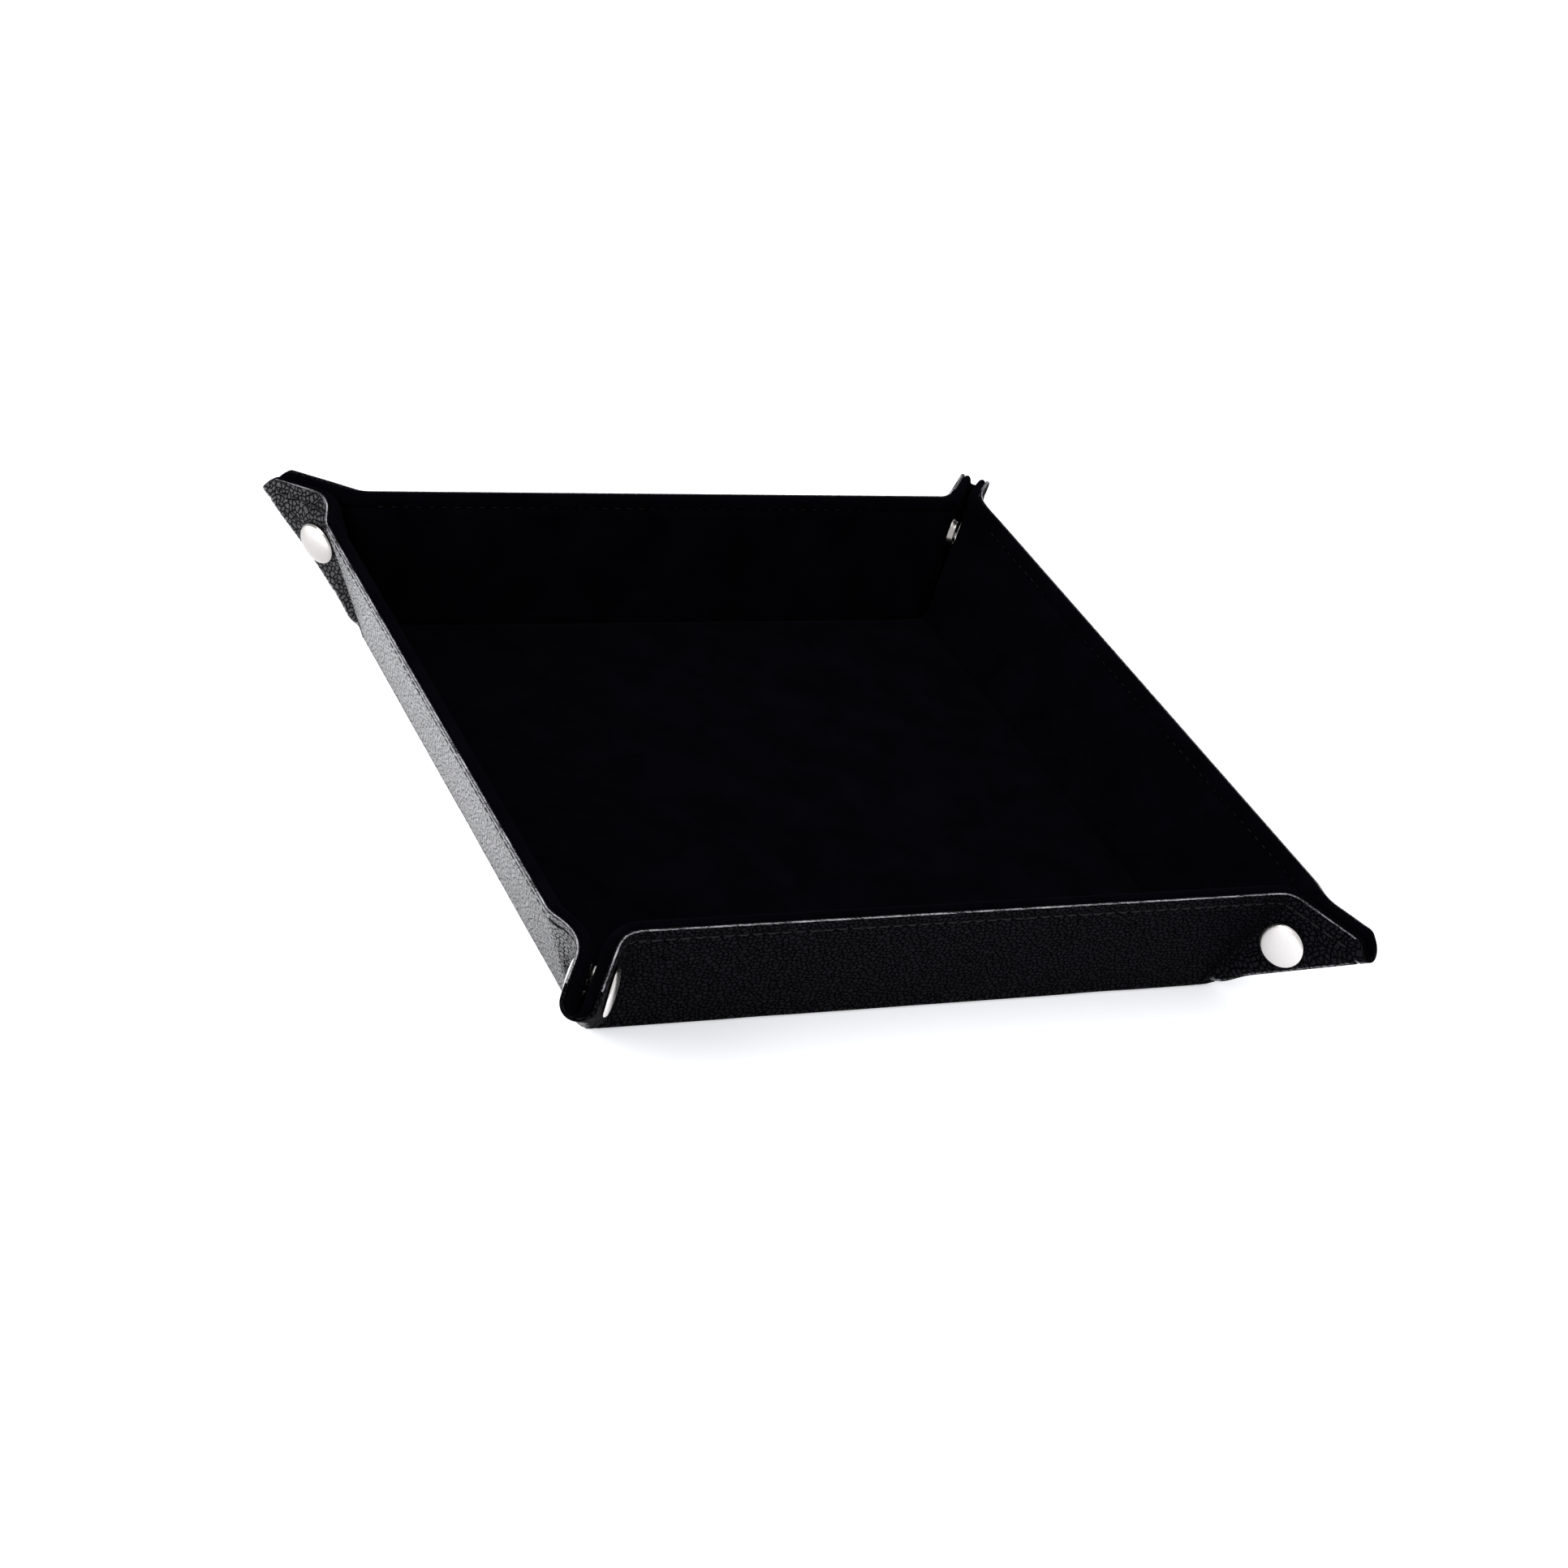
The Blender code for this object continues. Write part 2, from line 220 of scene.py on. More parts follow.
LEANS = {}                        # corner: stud centre, tilt axis, tilt, stud (diag, off)
for half in HALVES.values():
    if half.on_end:
        fit_end_fold(half)
    low, high = box_mm(("snap_cap_" if half.on_end else "snap_backcap_") + half.corner)
    arm = (low + high) / 2 - half.base_corner - half.shift
    half.stud = (float(arm @ half.diag_axis), float(arm @ half.off_axis))
    if not half.on_end and half.corner in STUD_LEAN:
        cap_low, cap_high = box_mm("snap_cap_" + half.corner)
        axis = half.diag_axis
        if np.cross(axis, -half.up)[2] > 0:
            axis = -axis
        LEANS[half.corner] = ((cap_low + cap_high + low + high) / 4, axis,
                              math.radians(STUD_LEAN[half.corner]), half.stud)


def lean(half, points, diag, off):
    """Tilts the ear locally round its press stud, but not on the diagonal itself."""
    if half.corner not in LEANS:
        return points
    centre, axis, tilt, (stud_diag, stud_off) = LEANS[half.corner]
    stud_gap = np.hypot(diag - stud_diag, off - stud_off)
    share = (1 - fade(stud_gap, start=6.4, length=7.6)) * smooth(off / LIP)
    return rotate(points, centre, axis, tilt * share)


def ear_fold(half, out):
    """Centre and half width, along the wall, of the soft fold between wall and ear half."""
    height = np.clip(out, 0, WALL)
    share = height / WALL
    if half.on_end:
        growth = END_FOLD_RIM[half.corner] - END_FOLD_FOOT
        return half.fold_start + half.slope * height, END_FOLD_FOOT + growth * share ** 1.3
    return tuple(foot + (rim - foot) * share ** 2
                 for foot, rim in zip(SIDE_FOLD_FOOT, SIDE_FOLD_RIM[half.corner]))


def ear_share(half, along, out):
    """0 in the wall, 1 in the ear."""
    centre, width = ear_fold(half, out)
    return smooth((along - centre + width) / (2 * width))


def bend_share(out, layer):
    """0 in the base, 1 in the wall."""
    return smooth((out + layer.bend) / (2 * layer.bend))


def round_lip(half, diag, off, z, padded):
    """Rounds the strip by the diagonal into the bottom of the ear's U; a pad fills the bend."""
    angle = np.clip((LIP - off) / LIP, 0, 1) * math.pi / 2
    radius = (GAP + FOLD_Z) - z
    reach = 2.7 + 0.2 * radius if padded else radius
    meet = (half.mean_offset - half.offset) * (1 - np.clip(off / LIP, 0, 1)) ** 2
    lip_off = LIP - reach * np.sin(angle) + meet
    lip_z = (GAP + FOLD_Z) - radius * np.cos(angle)
    share = fade(diag, start=-2.3, length=8.0) * (off < LIP)
    return off + (lip_off - off) * share, z + (lip_z - z) * share


def fold_half(half, along, out, z, layer):
    """Folded points and ear weights, before the two halves are joined at the diagonal."""
    diag, off = to_diagonal(along, out)
    lip_off, lip_z = round_lip(half, diag, off, z, layer.padded)
    flat = flat_points(half, *from_diagonal(diag, lip_off), lip_z)
    wall_share = bend_share(out, layer)
    weight = ear_share(half, along, out) * wall_share
    points = turn(turn(flat, half.wall_joint, wall_share), half.joint, weight)
    fill = (FOOT_FILL * fade(diag, start=-2.3, length=3.6)
            * (1 - fade(diag, start=2.5, length=11.0)) * (1 - fade(off, start=1.5, length=9.0)))
    points = lean(half, points - half.off_axis * fill[:, None], diag, off)
    if half.on_end:
        centre, width = ear_fold(half, out)
        step = np.clip((along - centre) / width, -1, 1)
        shift = np.stack([np.interp(step, FOLD_STEPS, column) for column in half.rounding.T], 1)
        points = points + shift * (width * half.fold_cos * wall_share)[:, None]
    return points, weight


def place_half(half, along, out, z, layer):
    """Folded points and ear weights of flat points in an ear half."""
    along, out, z = np.broadcast_arrays(
        np.asarray(along, float), np.asarray(out, float), np.asarray(z, float))
    points, weight = fold_half(half, along, out, z, layer)
    # near the diagonal both halves move to the middle of the gap between them
    diag, off = to_diagonal(along, out)
    share = smooth(1 - off / 5.0) * (diag > -2.6)
    on_diag = diag / ROOT2
    own = fold_half(half, on_diag, on_diag, z, layer)[0]
    others = fold_half(HALVES[half.other], on_diag, on_diag, z, layer)[0]
    join = share[:, None] * ((others - own) * 0.5)
    return points + join * (1 - fade(diag, start=7, length=3.0))[:, None], weight


def wall_points(wall, run, out, z):
    """Flat points of a wall; run: along the wall from its middle; out: out from its fold."""
    run, out, z = np.broadcast_arrays(
        np.asarray(run, float), np.asarray(out, float), np.asarray(z, float))
    reach = FOLD + out
    x, y = {"front_wall": (run, -reach), "back_wall": (run, reach),
            "left_wall": (-reach, run), "right_wall": (reach, run)}[wall]
    return np.stack([x, y, z], 1)


# ------------------------------------------------------------------ materials
class Shader:
    """A node material. Inputs are given as values, or as sockets to link from."""

    def __init__(self, name):
        self.material = bpy.data.materials.new(name)
        self.material.use_nodes = True
        self.tree = self.material.node_tree

    def fill(self, shader_node, inputs):
        for key, value in inputs.items():
            if isinstance(value, bpy.types.NodeSocket):
                self.tree.links.new(value, shader_node.inputs[key])
            else:
                shader_node.inputs[key].default_value = value

    def add(self, kind, inputs, output=0, **settings):
        shader_node = self.tree.nodes.new("ShaderNode" + kind)
        for key, value in settings.items():
            setattr(shader_node, key, value)
        self.fill(shader_node, inputs)
        return shader_node.outputs[output]

    def flat_coords(self):
        """Flat sheet coordinates in mm; a UV unit is 100 mm."""
        uv = self.add("UVMap", {}, uv_map="flat")
        return self.add("Mapping", {0: uv, "Scale": (100.0, 100.0, 100.0)})

    def coords(self, output="Object"):
        return self.add("TexCoord", {}, output)

    def noise(self, vector, output="Fac", **inputs):
        return self.add("TexNoise", {"Vector": vector, **inputs}, output)

    def calc(self, operation, *values, clamp=False):
        return self.add("Math", dict(enumerate(values)), operation=operation, use_clamp=clamp)

    def remap(self, value, span=(0.0, 1.0), result=(0.0, 1.0), soft=False):
        return self.add(
            "MapRange", {"Value": value, "From Min": span[0], "From Max": span[1],
                         "To Min": result[0], "To Max": result[1]},
            interpolation_type="SMOOTHSTEP" if soft else "LINEAR")

    def ramp(self, factor, first, last, span=(0.0, 1.0)):
        color = self.add("ValToRGB", {0: factor})
        elements = color.node.color_ramp.elements
        for element, position, rgb in zip(elements, span, (first, last)):
            element.position = position
            element.color = (*rgb, 1)
        return color

    def bump(self, height, strength, distance):
        return self.add("Bump", {"Strength": strength, "Distance": distance, "Height": height})

    def finish(self, surface, view_color=None):
        self.fill(self.tree.nodes["Principled BSDF"], surface)
        if view_color:
            self.material.diffuse_color = (*view_color, 1)
        return self.material


def leather_gloss_with_painted_light(shader, grain, height):
    """Coat weight: held back at steep view angles and in the creases of the grain, with painted
    shade on faces turned to the front right and a painted sheen on faces at the back turned to the
    front left.
    """
    slight = shader.bump(height, strength=0.06, distance=0.00022)
    fresnel = shader.add("Fresnel", {"IOR": 1.5, "Normal": slight})
    held_back = shader.calc("DIVIDE", 0.125, fresnel)
    gloss = shader.calc("SUBTRACT", 1.02, held_back, clamp=True)
    gloss = shader.calc("MULTIPLY", gloss, 2.9, clamp=True)
    normal = shader.coords("Normal")

    def facing(direction, span, result):
        amount = shader.add("VectorMath", {0: normal, 1: direction}, "Value",
                            operation="DOT_PRODUCT")
        return shader.remap(amount, span, result, soft=True)

    # painted shade: duller on the faces turned to the front right
    painted_shade_front_right = facing((0.7071, -0.7071, 0.0), span=(0.1, 0.5), result=(1.0, 0.06))
    gloss = shader.calc("MULTIPLY", gloss, painted_shade_front_right)
    # least gloss, raised into a painted sheen on faces at the back that are turned to the front left
    painted_sheen_front_left = facing((-0.7071, -0.7071, 0.0), span=(0.45, 0.85), result=(0.0, 1.0))
    y = shader.add("SeparateXYZ", {0: normal.node.outputs["Object"]}, "Y")
    painted_sheen_at_back = shader.remap(y, span=(0.050, 0.085), result=(0.0, 0.17), soft=True)
    least = shader.calc("MULTIPLY_ADD", painted_sheen_front_left, painted_sheen_at_back, 0.028)
    gloss = shader.calc("MAXIMUM", gloss, least)
    on_grain = shader.remap(grain, result=(0.06, 1.45))
    return shader.calc("MULTIPLY", gloss, on_grain, clamp=True)


def leather_material():
    shader = Shader("leather_pebbled")
    flat = shader.flat_coords()
    warp = shader.noise(flat, "Color", Scale=0.55, Detail=2.0)
    warped = shader.add("VectorMath", {0: warp, 1: (1.3, 1.3, 0.0), 2: flat},
                        operation="MULTIPLY_ADD")

    def pebbles(scale, edge):
        cells = shader.add("TexVoronoi", {"Vector": warped, "Scale": scale}, "Distance",
                           feature="DISTANCE_TO_EDGE", voronoi_dimensions="2D")
        return shader.remap(cells, span=(0.0, edge), soft=True)

    grain = pebbles(scale=0.72, edge=0.26)
    small_grain = pebbles(scale=1.9, edge=0.16)
    fine = shader.noise(flat, Scale=7.0, Detail=3.0, Roughness=0.6)
    height = shader.calc("MULTIPLY_ADD", small_grain, 0.30, grain)
    height = shader.calc("MULTIPLY_ADD", fine, 0.22, height)
    bump = shader.bump(height, strength=1.0, distance=0.00034)
    patches = shader.noise(flat, Scale=0.05, Detail=4.0)
    color = shader.ramp(patches, first=(0.0021, 0.0020, 0.0034), last=(0.0042, 0.0040, 0.0064))
    # painted shade in the creases of the grain; inputs 6 and 7 and output 2 are the colour sockets
    color = shader.add("Mix", {0: 0.95, 6: color, 7: grain}, 2,
                       data_type="RGBA", blend_type="MULTIPLY")
    return shader.finish({
        "Base Color": color,
        "Normal": bump,
        "Roughness": 0.6,
        "Specular IOR Level": 0.0,
        "Coat IOR": 2.1,
        "Coat Roughness": shader.remap(height, result=(0.46, 0.28)),
        "Coat Normal": bump,
        "Coat Weight": leather_gloss_with_painted_light(shader, grain, height),
    }, view_color=(0.02, 0.02, 0.025))


def raw_edge_material():
    shader = Shader("leather_raw_edge")
    flat = shader.flat_coords()
    fibres = shader.noise(flat, Scale=1.6, Detail=5.0, Roughness=0.75)
    patches = shader.noise(flat, Scale=0.16, Detail=2.0)
    mottle = shader.calc("MULTIPLY_ADD", patches, 0.5, fibres)
    return shader.finish({
        "Base Color": shader.ramp(mottle, first=(0.010, 0.010, 0.013), last=(0.50, 0.50, 0.53),
                                  span=(0.66, 0.92)),
        "Roughness": 0.95,
        "Specular IOR Level": 0.1,
        "Normal": shader.bump(fibres, strength=0.8, distance=0.0003),
    }, view_color=(0.2, 0.2, 0.2))


def velvet_material():
    shader = Shader("velvet_black")
    flat = shader.flat_coords()
    pile = shader.noise(flat, Scale=5.5, Detail=4.0, Roughness=0.7)
    brushed = shader.noise(flat, Scale=0.07, Detail=3.0, Distortion=0.6)
    return shader.finish({
        "Base Color": shader.ramp(brushed, first=(0.0007, 0.0007, 0.0012),
                                  last=(0.0015, 0.0014, 0.0024), span=(0.3, 0.75)),
        "Roughness": 1.0,
        "Specular IOR Level": 0.0,
        "Sheen Weight": 0.006,
        "Sheen Roughness": 0.35,
        "Sheen Tint": (0.8, 0.82, 1.0, 1),
        "Normal": shader.bump(pile, strength=0.5, distance=0.0002),
    }, view_color=(0.01, 0.01, 0.012))


def thread_material(name, color):
    shader = Shader(name)
    twist = shader.add(
        "TexWave", {"Vector": shader.flat_coords(), "Scale": 1.4, "Distortion": 0.6}, "Fac",
        wave_type="BANDS", bands_direction="DIAGONAL")
    return shader.finish({
        "Base Color": shader.ramp(twist, first=tuple(0.45 * part for part in color), last=color),
        "Roughness": 0.7,
        "Specular IOR Level": 0.2,
        "Normal": shader.bump(twist, strength=0.6, distance=0.0001),
    })


def metal_material(name, color, roughness):
    shader = Shader(name)
    grain = shader.noise(shader.coords(), Scale=900.0, Detail=4.0, Roughness=0.65)
    return shader.finish({
        "Base Color": (*color, 1),
        "Metallic": 1.0,
        "Roughness": shader.remap(grain, result=(roughness * 0.7, roughness * 1.4)),
        "Normal": shader.bump(grain, strength=0.08, distance=0.00005),
    })


def board_material():
    shader = Shader("board_grey")
    fibres = shader.noise(shader.coords(), Scale=260.0, Detail=5.0)
    return shader.finish({
        "Base Color": shader.ramp(fibres, first=(0.26, 0.22, 0.17), last=(0.44, 0.38, 0.30)),
        "Roughness": 0.9,
    })


LEATHER = leather_material()
RAW_EDGE = raw_edge_material()
VELVET = velvet_material()
THREAD_OUT = thread_material("thread_black", color=(0.0032, 0.0032, 0.0042))
THREAD_IN = thread_material("thread_charcoal", color=(0.017, 0.016, 0.014))
NICKEL = metal_material("nickel_bright", color=(0.66, 0.635, 0.62), roughness=0.24)
# darker copy of the nickel for the back left studs: painted shade, set against the bright spot
# glowing in the floor there
NICKEL_PAINTED_SHADE = metal_material("nickel_painted_shade", color=(0.265, 0.255, 0.243), roughness=0.24)
NICKEL_IN = metal_material("nickel_inner", color=(0.40, 0.385, 0.37), roughness=0.20)
STEEL = metal_material("spring_steel", color=(0.62, 0.62, 0.63), roughness=0.30)
BOARD = board_material()


# ------------------------------------------------------------------ mesh helpers
def make_object(name, points, faces, materials, uv, material_index=None, sharp_degrees=52):
    """An object from points and flat positions in mm."""
    mesh = bpy.data.meshes.new(name)
    mesh.from_pydata([tuple(point) for point in (points * MM).tolist()], [], faces)
    for material in materials:
        mesh.materials.append(material)
    if material_index is not None:
        mesh.polygons.foreach_set("material_index", np.asarray(material_index, np.int32))
    layer = mesh.uv_layers.new(name="flat")
    corners = np.zeros(len(mesh.loops), np.int32)
    mesh.loops.foreach_get("vertex_index", corners)
    layer.data.foreach_set("uv", (uv[corners] * 0.01).astype(np.float32).ravel())
    bm = bmesh.new()
    bm.from_mesh(mesh)
    bmesh.ops.recalc_face_normals(bm, faces=bm.faces)
    bm.to_mesh(mesh)
    bm.free()
    mesh.polygons.foreach_set("use_smooth", [True] * len(mesh.polygons))
    mesh.set_sharp_from_angle(angle=math.radians(sharp_degrees))
    thing = bpy.data.objects.new(name, mesh)
    bpy.context.scene.collection.objects.link(thing)
    return thing


def set_blend(thing):
    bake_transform(thing)


# ------------------------------------------------------------------ layers
def wobble(x, y, z, scale, amount):
    return amount * np.array([noise.noise(Vector((px * scale, py * scale, z)))
                              for px, py in zip(x, y)])


def groove(inset, depth, width):
    """Channel pulled in by the stitch line."""
    return depth * np.exp(-((inset - STITCH_IN) / width) ** 2)


def stitch_phase(x, y):
    return np.cos(2 * math.pi * (np.abs(x) + np.abs(y)) / PITCH)


# Bottom and top of each layer. inset: in from the rim; ear: 0 wall, 1 ear;
# stud_gap: distance to the stud's centre.
def leather_heights(x, y, inset, ear, stud_gap):
    bottom = groove(inset, depth=0.30, width=0.55) * (1.0 + 0.25 * stitch_phase(x, y))
    bottom = bottom + 0.22 * (1 - fade(stud_gap, start=5.2, length=2.4))
    waves = wobble(x, y, 0.3, scale=0.045, amount=0.16)
    bottom = bottom + waves * (1 - 0.6 * ear) * smooth(inset / 3.0) * (inset < ON_BASE)
    bottom = np.maximum(bottom, 0.0)
    return bottom, np.maximum(LEATHER_TOP, bottom + 0.5)


def velvet_heights(x, y, inset, ear, stud_gap):
    top = VELVET_TOP - 0.25 * ear
    top = top - groove(inset, depth=0.75, width=0.75) * (1.0 + 0.2 * stitch_phase(x, y))
    top = top - 0.95 * (1 - fade(stud_gap, start=5.4, length=4.2)) * ear
    top = top + wobble(x, y, 2.7, scale=0.05, amount=0.18) * smooth(inset / 4.0)
    return np.full_like(inset, VELVET_BOTTOM), top


# bend: half width of the fold at the base; rim: (outward offset, share of thickness) from
# bottom to top; anchor_z: height of an anchor point on the lips, which is computed but not used;
# base_steps: points across the base
LEATHER_LAYER = SimpleNamespace(
    prefix="cover_", slot="outer_leather", materials=[LEATHER, RAW_EDGE], bend=1.6,
    padded=False, heights=leather_heights, anchor_z=0.0, base_steps=31,
    rim=[(-0.12, 0.0), (0.02, 0.14), (0.06, 0.30), (0.06, 0.52), (0.02, 0.80), (-0.05, 1.0)])
VELVET_LAYER = SimpleNamespace(
    prefix="lining_", slot="inner_velvet", materials=[VELVET], bend=2.6,
    padded=True, heights=velvet_heights, anchor_z=3.4, base_steps=61,
    rim=[(-0.55, 0.0), (-0.1, 0.10), (0.05, 0.30), (0.02, 0.52), (-0.25, 0.74),
         (-0.85, 0.92), (-1.7, 1.0)])
RAW_STRIPS = (1, 2)               # rim strips that show the cut fibres


def rim_shift(inset, offset):
    return offset * np.clip(1 - inset / 5.0, 0, 1)


def build_solid(name, layer, materials, coords, xy, faces, boundary, cut, place, spread,
                inset, ear=0.0, stud_gap=FAR_FROM_STUD):
    """Thickens a flat sheet and closes its sides; returns the object and its weights.

    boundary: ordered loop of indices, with cut True where it is a rim.
    place(coords, z) gives folded points and weights.
    spread(coords, offset, inset) moves coords outward near the rim.
    """
    bottom, top = layer.heights(xy[:, 0], xy[:, 1], inset, ear, stud_gap)
    rim = layer.rim
    count = len(coords)
    points, weights, uvs = [], [], []

    def add(flat, z, uv):
        placed, weight = place(flat, z)
        points.append(placed)
        weights.append(np.broadcast_to(weight, (len(placed),)))
        uvs.append(uv)

    add(spread(coords, rim[0][0], inset), bottom, xy)
    add(spread(coords, rim[-1][0], inset), top, xy)
    solid_faces = [tuple(face) for face in faces]
    solid_faces += [tuple(count + i for i in reversed(face)) for face in faces]
    material_index = [0] * len(solid_faces)

    edge = np.array(boundary)
    size = len(edge)
    plain = np.clip(inset[edge] / 4.0, 0, 1)      # 1 on sides away from the rim
    rings = [edge]
    for i, (offset, share) in enumerate(rim[1:-1], 1):
        level = share * (1 - plain) + i / (len(rim) - 1) * plain
        z = bottom[edge] + (top[edge] - bottom[edge]) * level
        add(spread(coords[edge], offset, inset[edge]), z, xy[edge] + 0.35 * i)
        start = 2 * count + (i - 1) * size
        rings.append(np.arange(start, start + size))
    rings.append(edge + count)
    for strip, (lower, upper) in enumerate(zip(rings[:-1], rings[1:])):
        for i in range(size):
            j = (i + 1) % size
            solid_faces.append((int(lower[i]), int(lower[j]), int(upper[j]), int(upper[i])))
            raw = cut[i] and cut[j] and len(materials) > 1 and strip in RAW_STRIPS
            material_index.append(1 if raw else 0)
    solid = make_object(name, np.vstack(points), solid_faces, materials, np.vstack(uvs),
                        material_index)
    return solid, np.concatenate(weights)


# ------------------------------------------------------------------ base and walls
def grid_faces(rows, columns):
    corners = (r * columns + c for r in range(rows - 1) for c in range(columns - 1))
    return [(i, i + 1, i + columns + 1, i + columns) for i in corners]


def grid_boundary(rows, columns):
    loop = list(range(columns))
    loop += [r * columns + columns - 1 for r in range(1, rows)]
    loop += [(rows - 1) * columns + c for c in range(columns - 2, -1, -1)]
    loop += [r * columns for r in range(rows - 2, 0, -1)]
    return loop


def wall_span(wall, out):
    """Where a wall starts and ends, between the soft folds of its two ears."""
    reach = {}
    for half in HALVES.values():
        if half.wall == wall:
            centre, width = ear_fold(half, out)
            reach[half.x_sign if half.on_end else half.y_sign] = FOLD + centre - width
    return -reach[-1], reach[1]


def build_wall(wall, layer):
    bend = layer.bend
    rows = [bend * share for share in (-1, -0.66, -0.33, 0.0, 0.33, 0.66, 1)]
    rows += [bend + 1.2, bend + 2.8]
    rows += list(np.linspace(bend + 4.5, WALL - 10.2, 9))
    rows += [WALL - inset for inset in reversed(INSETS)]
    run = np.concatenate([np.linspace(*wall_span(wall, out), WALL_COLUMNS) for out in rows])
    out = np.repeat(np.array(rows), WALL_COLUMNS)

    def place(coords, z):
        share = bend_share(coords[:, 1], layer)
        flat = wall_points(wall, coords[:, 0], coords[:, 1], z)
        return turn(flat, JOINTS[wall], share), share

    def spread(coords, offset, inset):
        coords = coords.copy()
        coords[:, 1] += rim_shift(inset, offset)
        return coords

    boundary = grid_boundary(len(rows), WALL_COLUMNS)
    solid, weights = build_solid(
        layer.prefix + wall + "_soft", layer, layer.materials,
        coords=np.stack([run, out], 1), xy=wall_points(wall, run, out, 0.0)[:, :2],
        faces=grid_faces(len(rows), WALL_COLUMNS), boundary=boundary,
        cut=[abs(out[i] - WALL) < 1e-6 for i in boundary],
        place=place, spread=spread, inset=WALL - out)
    set_blend(solid)
    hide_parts(layer.prefix + wall)


def build_base(layer):
    steps = layer.base_steps
    line = np.linspace(-(FOLD - layer.bend), FOLD - layer.bend, steps)
    x, y = np.meshgrid(line, line)
    coords = np.stack([x.ravel(), y.ravel()], 1)
    boundary = grid_boundary(steps, steps)
    solid, _ = build_solid(
        layer.prefix + "floor_soft", layer, layer.materials[:1], coords=coords, xy=coords,
        faces=grid_faces(steps, steps), boundary=boundary, cut=[False] * len(boundary),
        place=lambda flat, z: (np.stack([flat[:, 0], flat[:, 1], z], 1), 0.0),
        spread=lambda flat, offset, inset: flat,
        inset=np.full(len(coords), ON_BASE))
    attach(solid, "base")
    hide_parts(layer.prefix + "base")


# ------------------------------------------------------------------ ears
def spaced(points, gap, taken):
    """Keeps the points at least a gap from each other and from those taken."""
    kept, cells = [], {}

    def cell(point):
        return math.floor(point[0] / gap), math.floor(point[1] / gap)

    for point in taken:
        cells.setdefault(cell(point), []).append(point)
    for point in points:
        column, row = cell(point)
        nearby = (other for i in (-1, 0, 1) for j in (-1, 0, 1)
                  for other in cells.get((column + i, row + j), []))
        if any((point[0] - other[0]) ** 2 + (point[1] - other[1]) ** 2 < gap * gap
               for other in nearby):
            continue
        cells.setdefault((column, row), []).append(point)
        kept.append(point)
    return kept


def inside(outline, points):
    """Which points lie inside the outline, by counting crossings."""
    outline = np.array(outline)
    x, y = points[:, 0], points[:, 1]
    result = np.zeros(len(points), bool)
    for (x0, y0), (x1, y1) in zip(outline, np.roll(outline, 1, axis=0)):
        if y0 != y1:
            result ^= ((y0 > y) != (y1 > y)) & (x < (x1 - x0) * (y - y0) / (y1 - y0) + x0)
    return result


def resample(start, end, step):
    """Evenly spaced points on a line, both ends included."""
    first, last = np.array(start), np.array(end)
    count = max(1, int(round(np.linalg.norm(last - first) / step)))
    return [tuple(first + (last - first) * i / count) for i in range(count)] + [tuple(end)]


def join_chains(*chains):
    """One closed outline from chains that each end where the next starts."""
    return [tuple(map(float, point)) for chain in chains for point in chain[:-1]]


def fold_edge(half, out):
    """Flat point where the wall ends and the soft fold to the ear starts."""
    centre, width = ear_fold(half, out)
    return float(centre - width), out


def lip_line(half, bend):
    """Height where the fold's edge meets the lip, and the line from there to the tip."""
    low, high = -bend, 12.0
    for _ in range(50):
        middle = (low + high) / 2
        if middle - fold_edge(half, middle)[0] > LIP * ROOT2:
            high = middle
        else:
            low = middle
    meet = (low + high) / 2
    meet_diag = (fold_edge(half, meet)[0] + meet) / ROOT2
    line = resample(from_diagonal(TIP, LIP), from_diagonal(meet_diag, LIP), 1.0)
    return meet, line


def face_outline(half, bend):
    """Flat outline of an ear half's face, and which of its points are on the rim."""
    meet, line = lip_line(half, bend)
    edge = [fold_edge(half, out) for out in np.linspace(meet, WALL, 34)]
    corner = np.array(from_diagonal(TIP, WALL * ROOT2 - TIP))
    start = corner + np.array([-1.0, 0.0]) * TIP_ROUND
    end = corner + np.array(from_diagonal(0.0, -1.0)) * TIP_ROUND
    arc = [tuple((1 - q) ** 2 * start + 2 * q * (1 - q) * corner + q * q * end)
           for q in np.linspace(0, 1, 5)]
    rim = resample(edge[-1], arc[0], 0.95)
    tip = resample(arc[-1], from_diagonal(TIP, LIP), 0.8)
    outline = join_chains(edge, rim, arc, tip, line)
    first = len(edge) - 1
    return outline, [first <= i < first + len(rim) for i in range(len(outline))]


def lip_outline(half, bend):
    meet, line = lip_line(half, bend)
    foot = (-bend, -bend)
    outline = join_chains(
        [fold_edge(half, out) for out in np.linspace(-bend, meet, 6)],
        list(reversed(line)),
        resample(from_diagonal(TIP, LIP), from_diagonal(TIP, 0), 0.5),
        resample(from_diagonal(TIP, 0), foot, 1.0),
        resample(foot, fold_edge(half, -bend), 0.8))
    return outline, [False] * len(outline)


def face_candidates():
    """Mesh points for a face: rows along the rim, rows along the tip cut, then a grid."""
    points = [(along, WALL - inset) for inset in INSETS[1:] for along in np.arange(-9.0, 32.0, 0.95)]
    points += [from_diagonal(TIP - inset, off)
               for inset in INSETS[1:] for off in np.arange(LIP + 0.8, 12.0, 0.8)]
    points += [(along, out) for out in np.arange(2.0, WALL - 9.2, 1.2)
               for along in np.arange(-10.0, 34.0, 1.2)]
    return np.array(points)


def lip_candidates():
    """Mesh points for a lip: rows along the tip cut, then rows across the lip."""
    diags = [TIP - inset for inset in INSETS[1:-1]] + list(np.arange(-6.0, TIP - 8.0, 0.9))
    return np.array([from_diagonal(diag, off)
                     for diag in diags for off in np.linspace(0, LIP, 9)[1:-1]])


